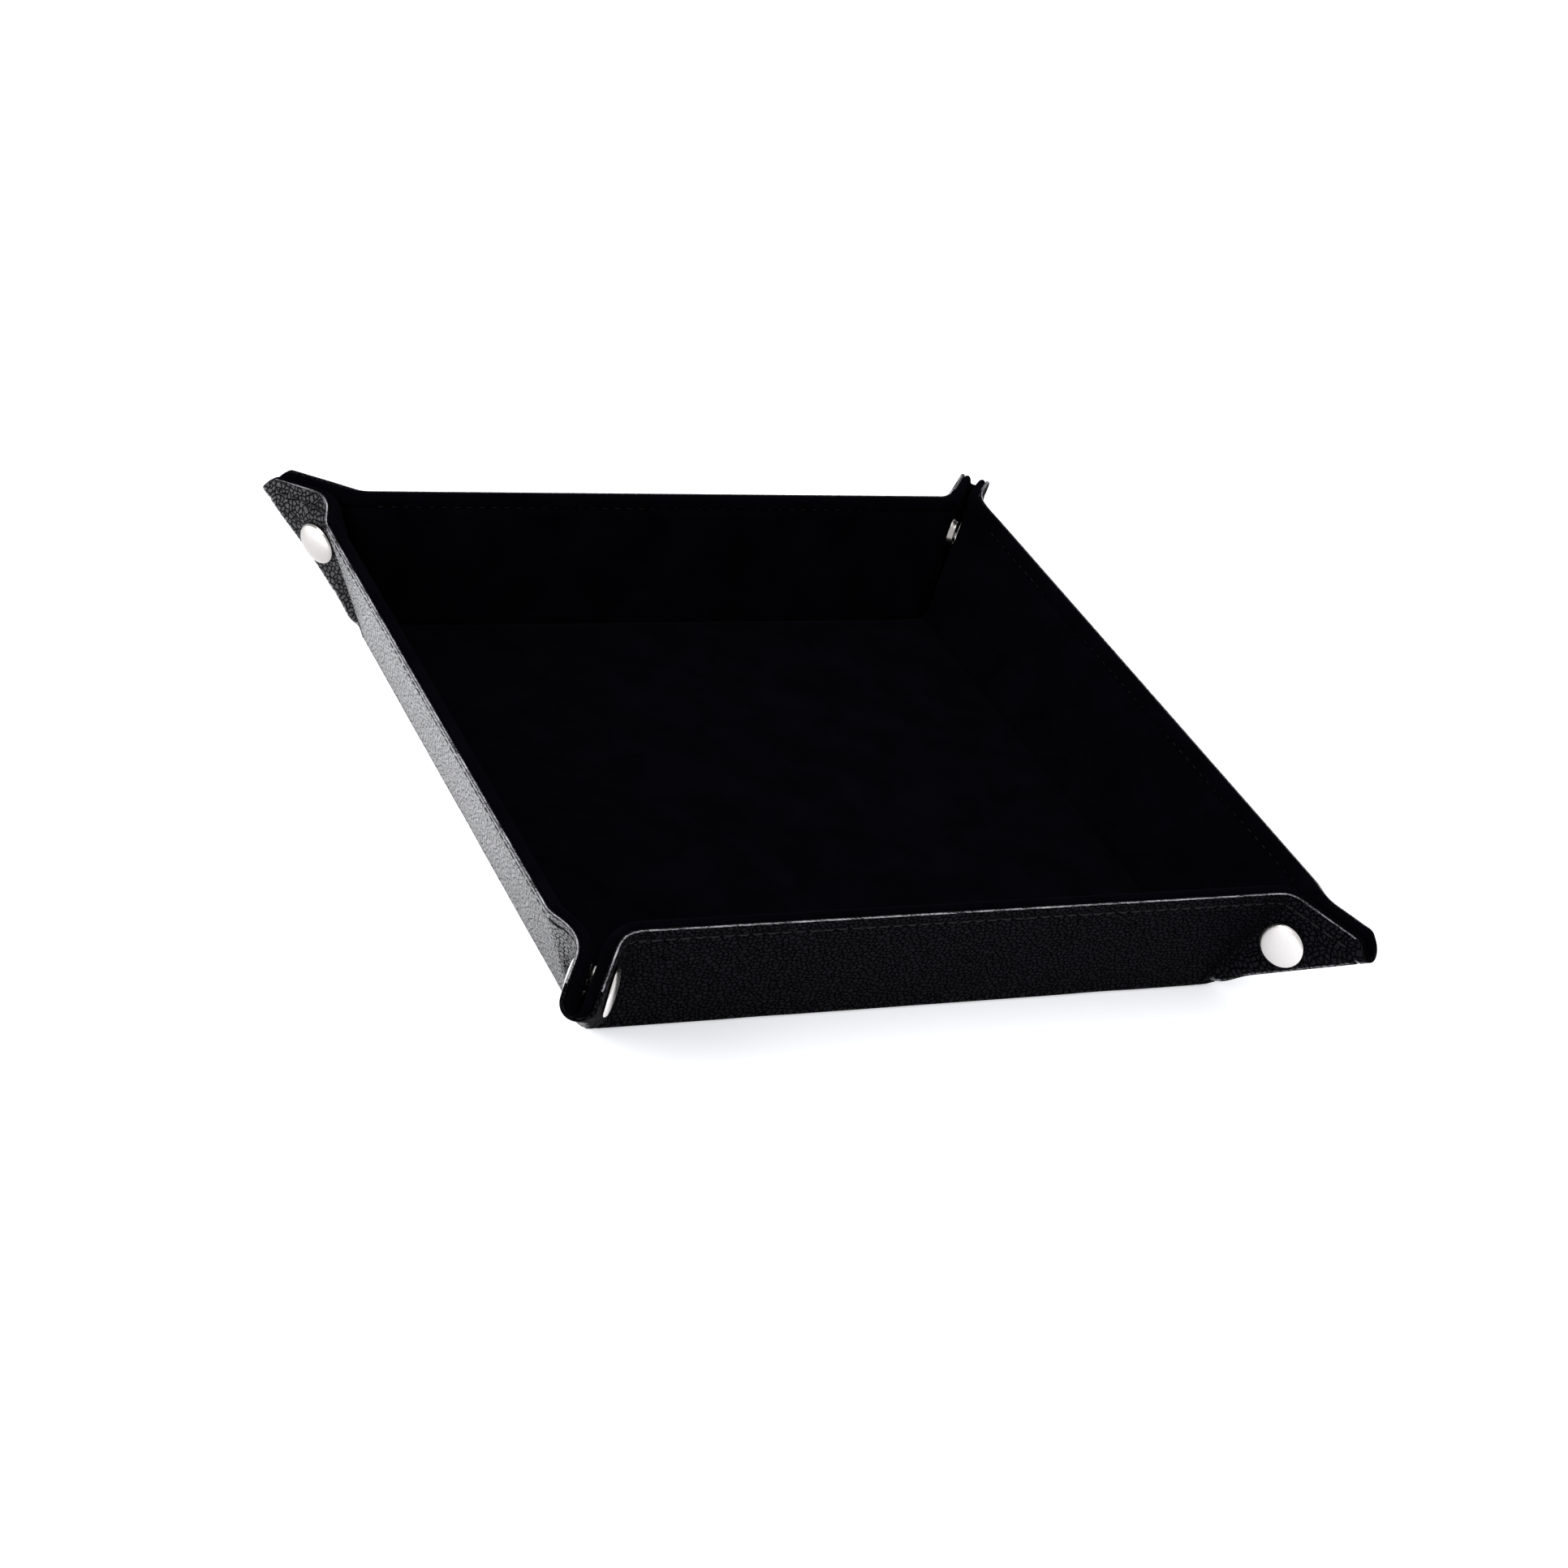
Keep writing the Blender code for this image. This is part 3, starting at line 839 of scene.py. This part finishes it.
def triangulate(outline, points):
    """Triangles inside the outline: flat points, faces and the outline's indices."""
    count = len(outline)
    edges = [(i, (i + 1) % count) for i in range(count)]
    flat, _, faces, sources, _, _ = delaunay_2d_cdt(
        [Vector(point) for point in outline + points], edges, [list(range(count))], 1, 1e-6)
    index = {source: i for i, group in enumerate(sources) for source in group}
    coords = np.array([(point.x, point.y) for point in flat])
    return coords, [tuple(face) for face in faces], [index[i] for i in range(count)]


def build_ear_part(half, layer, is_face):
    """The face of an ear half, or the lip that rounds it into the other half."""
    if is_face:
        outline, cut = face_outline(half, layer.bend)
        points = face_candidates()
    else:
        outline, cut = lip_outline(half, layer.bend)
        points = lip_candidates()
    points = [tuple(point) for point in points[inside(outline, points)]]
    coords, faces, boundary = triangulate(outline, spaced(points, 0.42, taken=outline))
    along, out = coords[:, 0], coords[:, 1]
    diag, off = to_diagonal(along, out)

    def spread(coords, offset, inset):
        coords = coords.copy()
        to_tip = rim_shift(TIP - (coords[:, 0] + coords[:, 1]) / ROOT2, offset)
        coords[:, 1] += rim_shift(WALL - coords[:, 1], offset)
        coords[:, 0] += to_tip / ROOT2
        coords[:, 1] += to_tip / ROOT2
        return coords

    solid, weights = build_solid(
        layer.prefix + half.name + ("_soft" if is_face else "_lip"), layer, layer.materials,
        coords=coords, xy=np.stack(flat_xy(half, along, out), 1),
        faces=faces, boundary=boundary, cut=cut,
        place=lambda flat, z: place_half(half, flat[:, 0], flat[:, 1], z, layer),
        spread=spread, inset=np.minimum(WALL - out, TIP - diag),
        ear=ear_share(half, along, out) * smooth(out / 8.0),
        stud_gap=np.hypot(diag - half.stud[0], off - half.stud[1]))
    if is_face:
        set_blend(solid)
        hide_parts(layer.prefix + half.name)
    else:
        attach(solid, half.name)
        anchor = flat_points(half, np.array([10.0]), np.array([20.0]), layer.anchor_z)
        anchor = fold_rigid(half, anchor)[0] * MM
        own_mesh(solid)


# ------------------------------------------------------------------ stitches
# wall_z, ear_z: height of a stitch's middle in the flat sheet; up: side it bulges to
STITCHES = {
    "out": SimpleNamespace(thread=THREAD_OUT, wall_z=0.10, ear_z=0.10, up=-1.0,
                           radius=0.30, length=3.0),
    "in": SimpleNamespace(thread=THREAD_IN, wall_z=3.42, ear_z=2.85, up=1.0,
                          radius=0.26, length=2.7),
}


def stitch_shape(radius, length, rings=7, sides=10, flatten=0.75, bow=0.16, end_radius=0.02):
    """A slightly bowed stitch lying along x."""
    points, faces = [], []
    for q in np.linspace(-1, 1, rings):
        ring_radius = max(radius * math.sqrt(1 - abs(q) ** 5), end_radius)
        for k in range(sides):
            angle = 2 * math.pi * k / sides
            points.append((q * length / 2, ring_radius * math.cos(angle),
                           flatten * ring_radius * math.sin(angle) - bow * q * q))
    for start in range(0, (rings - 1) * sides, sides):
        for k in range(sides):
            i, j = start + k, start + (k + 1) % sides
            faces.append((i, j, j + sides, i + sides))
    faces.append(tuple(range(sides)))
    faces.append(tuple((rings - 1) * sides + k for k in reversed(range(sides))))
    return np.array(points), faces


def stitch_row(name, style, centres, directions, z, place):
    """Stitches at flat centres, each along its flat direction."""
    shape, shape_faces = stitch_shape(style.radius, style.length)
    points, faces, weights, uvs = [], [], [], []
    for i, (centre, direction) in enumerate(zip(centres, directions)):
        across = np.array([-direction[1], direction[0]])
        flat = centre + shape[:, :1] * direction + shape[:, 1:2] * across
        placed, weight = place(flat, z + style.up * shape[:, 2])
        points.append(placed)
        weights.append(np.broadcast_to(weight, (len(placed),)))
        uvs.append(centre + shape[:, :2] * 2.0)
        faces += [tuple(i * len(shape) + k for k in face) for face in shape_faces]
    row = make_object(name, np.vstack(points), faces, [style.thread], np.vstack(uvs))
    return row, np.concatenate(weights)


def build_wall_stitches(wall, side):
    style = STITCHES[side]
    out = WALL - STITCH_IN
    start, end = wall_span(wall, out)
    count = int((end - start) / PITCH)
    run = (start + end) / 2 + (np.arange(count) - (count - 1) / 2) * ((end - start) / count)
    row, _ = stitch_row(
        "stitch_%s_%s" % (side, wall), style, np.stack([run, np.full(count, out)], 1),
        np.tile(np.array([1.0, 0.0]), (count, 1)), style.wall_z,
        lambda flat, z: (turn(wall_points(wall, flat[:, 0], flat[:, 1], z), JOINTS[wall], 1.0),
                         1.0))
    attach(row, wall)
    if side == "out":
        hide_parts("thread_" + wall)


def build_ear_stitches(half, side):
    style = STITCHES[side]
    out = WALL - STITCH_IN
    tip_diag = TIP - STITCH_IN
    start, end = fold_edge(half, out)[0], tip_diag * ROOT2 - out
    count = int((end - start) / PITCH)
    centres = [(start + (i + 0.5) * ((end - start) / count), out) for i in range(count)]
    directions = [(1.0, 0.0)] * count
    # one more stitch along the tip cut where there is room
    top_off = (out - end) / ROOT2
    if top_off > LIP + 1.0:
        centres.append(from_diagonal(tip_diag, (top_off + LIP * 0.6) / 2))
        directions.append((1 / ROOT2, -1 / ROOT2))
    row, weights = stitch_row(
        "stitch_%s_%s" % (side, half.name), style, np.array(centres), np.array(directions),
        style.ear_z,
        lambda flat, z: place_half(half, flat[:, 0], flat[:, 1], z, LEATHER_LAYER))
    set_blend(row)


# ------------------------------------------------------------------ press studs
def lathe(profile, segments):
    """Turns a profile of (radius, z); one that starts off the axis is closed into a ring."""
    points, faces, rings = [], [], []
    for radius, z in profile:
        start = len(points)
        if abs(radius) < 1e-9:
            points.append((0.0, 0.0, z))
        else:
            angles = [2 * math.pi * k / segments for k in range(segments)]
            points += [(radius * math.cos(a), radius * math.sin(a), z) for a in angles]
        rings.append(list(range(start, len(points))))
    pairs = list(zip(rings[:-1], rings[1:]))
    if len(rings[0]) > 1:
        pairs.append((rings[-1], rings[0]))
    for lower, upper in pairs:
        for k in range(segments):
            j = (k + 1) % segments
            if len(lower) == 1:
                faces.append((lower[0], upper[j], upper[k]))
            elif len(upper) == 1:
                faces.append((lower[k], lower[j], upper[0]))
            else:
                faces.append((lower[k], lower[j], upper[j], upper[k]))
    return np.array(points), faces


def arc_points(radius, z, size, start, end, count):
    """Arc of a profile about (radius, z), with its angles in degrees."""
    angles = [math.radians(start + (end - start) * i / count) for i in range(count + 1)]
    return [(radius + size * math.cos(a), z + size * math.sin(a)) for a in angles]


def cap_profile(dome_z=-1.6, dome_radius=5.82, edge_z=-0.78):
    """Drawn cap: shallow dome with a tight rolled edge, short shank behind."""
    profile = [(0.0, 1.9), (1.35, 1.9), (1.35, 0.05), (4.6, 0.02), (5.35, 0.0), (5.75, -0.08)]
    profile += arc_points(5.76, -0.42, 0.32, 60, -60, 8)
    profile += [(5.90, -0.72)]
    for i in range(1, 15):
        angle = math.radians(90.0 * i / 15)
        profile.append((dome_radius * math.cos(angle) ** 0.92,
                        edge_z + (dome_z - edge_z) * math.sin(angle) ** 1.15))
    return profile + [(0.0, dome_z)]


# Profiles of (radius, z), with z along the stud's axis
CAP = cap_profile()
SOCKET = ([(2.75, 4.95), (3.0, 5.05), (4.3, 5.05)] + arc_points(4.45, 4.65, 0.4, 80, 0, 5)
          + [(4.95, 4.0), (5.15, 3.5), (5.2, 3.1), (5.1, 2.95), (2.9, 2.95), (2.72, 3.1),
             (2.72, 3.6), (3.45, 3.7), (3.45, 4.6), (2.72, 4.7)])
POST = ([(0.0, 5.38), (1.2, 5.38)] + arc_points(1.45, 4.95, 0.43, 80, -50, 6)
        + [(1.58, 4.3), (1.6, 3.75), (2.1, 3.5), (4.4, 3.45)]
        + arc_points(4.75, 3.2, 0.25, 80, -80, 5) + [(0.0, 2.95)])
SPRING = arc_points(2.88, 4.18, 0.22, 90, -270, 12)[:-1]


def build_stud_part(half, name, replaced, profile, material, segments=56):
    diag, off = half.stud
    along, out = from_diagonal(diag, off)
    shape, faces = lathe(profile, segments)
    flat = flat_points(half, along + shape[:, 0], out + shape[:, 1], shape[:, 2])
    points = lean(half, fold_rigid(half, flat), diag, off)
    part = make_object("stud_%s_%s" % (name, half.corner), points, faces, [material],
                       shape[:, :2], sharp_degrees=38)
    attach(part, half.name)
    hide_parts("snap_%s_%s" % (replaced, half.corner))


def build_stud(half):
    """Cap, socket and spring on an end half; cap and post on a side half."""
    # the back left studs take the darker nickel copy, painted shade
    nickel = NICKEL_PAINTED_SHADE if half.corner == "bl" else NICKEL
    if half.on_end:
        build_stud_part(half, "cap", "cap", CAP, nickel)
        build_stud_part(half, "socket", "socket", SOCKET, NICKEL_IN)
        build_stud_part(half, "spring", "spring", SPRING, STEEL, 40)
    else:
        build_stud_part(half, "backcap", "backcap", CAP, nickel)
        build_stud_part(half, "post", "stud", POST, NICKEL_IN)


# ------------------------------------------------------------------ build
for layer in (LEATHER_LAYER, VELVET_LAYER):
    build_base(layer)
    for wall in WALLS:
        build_wall(wall, layer)
    for half in HALVES.values():
        build_ear_part(half, layer, is_face=True)
        build_ear_part(half, layer, is_face=False)
for side in STITCHES:
    for wall in WALLS:
        build_wall_stitches(wall, side)
    for half in HALVES.values():
        build_ear_stitches(half, side)
for half in HALVES.values():
    build_stud(half)

for name, thing in frame["nodes"].items():
    if name.startswith("board_"):
        thing.data.materials.clear()
        thing.data.materials.append(BOARD)

# ------------------------------------------------------------------ stage (metres)
scene = bpy.context.scene
FLOOR_HALF = 6.0
FLOOR_Z = -0.00005

# Soft edges of a painted light strip, glowing in the floor along the left side and mirrored by that
# wall:
# axis, span, strength at the ends of the span
PAINTED_LIGHT_STRIP_EDGES = [
    ("X", (-0.094, -0.084), (1.0, 0.0)),
    ("X", (-0.160, -0.118), (0.0, 1.0)),
    ("Y", (-0.115, 0.005), (0.0, 1.0)),
    ("Y", (0.110, 0.150), (1.0, 0.0)),
]


def floor_material():
    shader = Shader("studio_white")
    position = shader.coords()
    patches = shader.noise(position, Scale=3.0)
    # painted light: a spot glowing in the floor beyond the back left corner
    distance = shader.add("VectorMath", {0: position, 1: (-0.185, 0.095, 0.0)}, "Value",
                          operation="DISTANCE")
    painted_light_spot = shader.remap(distance, span=(0.02, 0.068), result=(7.0, 0.46), soft=True)
    axes = shader.add("SeparateXYZ", {0: position}).node.outputs
    edges = [shader.remap(axes[axis], span, result, soft=True)
             for axis, span, result in PAINTED_LIGHT_STRIP_EDGES]
    strip = edges[0]
    for edge in edges[1:]:
        strip = shader.calc("MULTIPLY", strip, edge)
    return shader.finish({
        "Base Color": shader.ramp(patches, first=(0.86, 0.87, 0.905), last=(0.87, 0.88, 0.915)),
        "Roughness": 1.0,
        "Specular IOR Level": 0.0,
        "Emission Color": (0.97, 0.975, 1.0, 1),
        # glow of the floor: an even base, plus the painted light spot and the painted light strip
        "Emission Strength": shader.calc("MULTIPLY_ADD", strip, 1.15, painted_light_spot),
    })


def build_floor():
    mesh = bpy.data.meshes.new("floor")
    corners = [(x * FLOOR_HALF, y * FLOOR_HALF, FLOOR_Z)
               for x, y in ((-1, -1), (1, -1), (1, 1), (-1, 1))]
    mesh.from_pydata(corners, [], [(0, 1, 2, 3)])
    floor = bpy.data.objects.new("floor", mesh)
    scene.collection.objects.link(floor)
    mesh.materials.append(floor_material())


def set_world(color, strength):
    world = bpy.data.worlds.new("studio")
    scene.world = world
    world.use_nodes = True
    background = world.node_tree.nodes["Background"]
    background.inputs["Color"].default_value = color
    background.inputs["Strength"].default_value = strength


def area_light(name, location, target, size, power):
    light = bpy.data.lights.new(name, "AREA")
    light.shape = "RECTANGLE"
    light.size, light.size_y = size
    light.energy = power
    lamp = bpy.data.objects.new(name, light)
    lamp.location = location
    aim = Vector(target) - Vector(location)
    lamp.rotation_euler = aim.to_track_quat("-Z", "Y").to_euler()
    scene.collection.objects.link(lamp)


def add_camera(azimuth, elevation, roll, distance, shift_right, shift_up, lens):
    """Camera orbiting the origin, in degrees and metres, then shifted in its own plane."""
    azimuth, elevation, roll = map(math.radians, (azimuth, elevation, roll))
    back = Vector((math.sin(azimuth) * math.cos(elevation),
                   -math.cos(azimuth) * math.cos(elevation), math.sin(elevation)))
    level_right = (-back).cross(Vector((0, 0, 1))).normalized()
    level_up = level_right.cross(-back)
    right = math.cos(roll) * level_right + math.sin(roll) * level_up
    up = -math.sin(roll) * level_right + math.cos(roll) * level_up
    pose = Matrix((right, up, back)).transposed().to_4x4()
    pose.translation = back * distance + right * shift_right + up * shift_up
    camera = bpy.data.objects.new("camera", bpy.data.cameras.new("camera"))
    camera.matrix_world = pose
    camera.data.lens = lens
    camera.data.sensor_width = 36.0
    camera.data.sensor_fit = "HORIZONTAL"
    camera.data.clip_start = 0.01
    camera.data.clip_end = 50
    scene.collection.objects.link(camera)
    scene.camera = camera


build_floor()
set_world(color=(1.0, 1.0, 1.0, 1), strength=0.95)
area_light("softbox_left", location=(-1.5, -0.35, 0.75), target=(0, 0, 0.02),
           size=(0.9, 0.7), power=16.0)
area_light("softbox_top", location=(0.3, 0.5, 1.7), target=(0, 0, 0),
           size=(1.2, 1.2), power=9.0)
add_camera(azimuth=-31.8548, elevation=30.8324, roll=15.5746, distance=0.87596,
           shift_right=0.002758, shift_up=0.005302, lens=74.434)

scene.view_settings.view_transform = "Standard"
scene.view_settings.look = "None"
scene.view_settings.exposure = 0.0
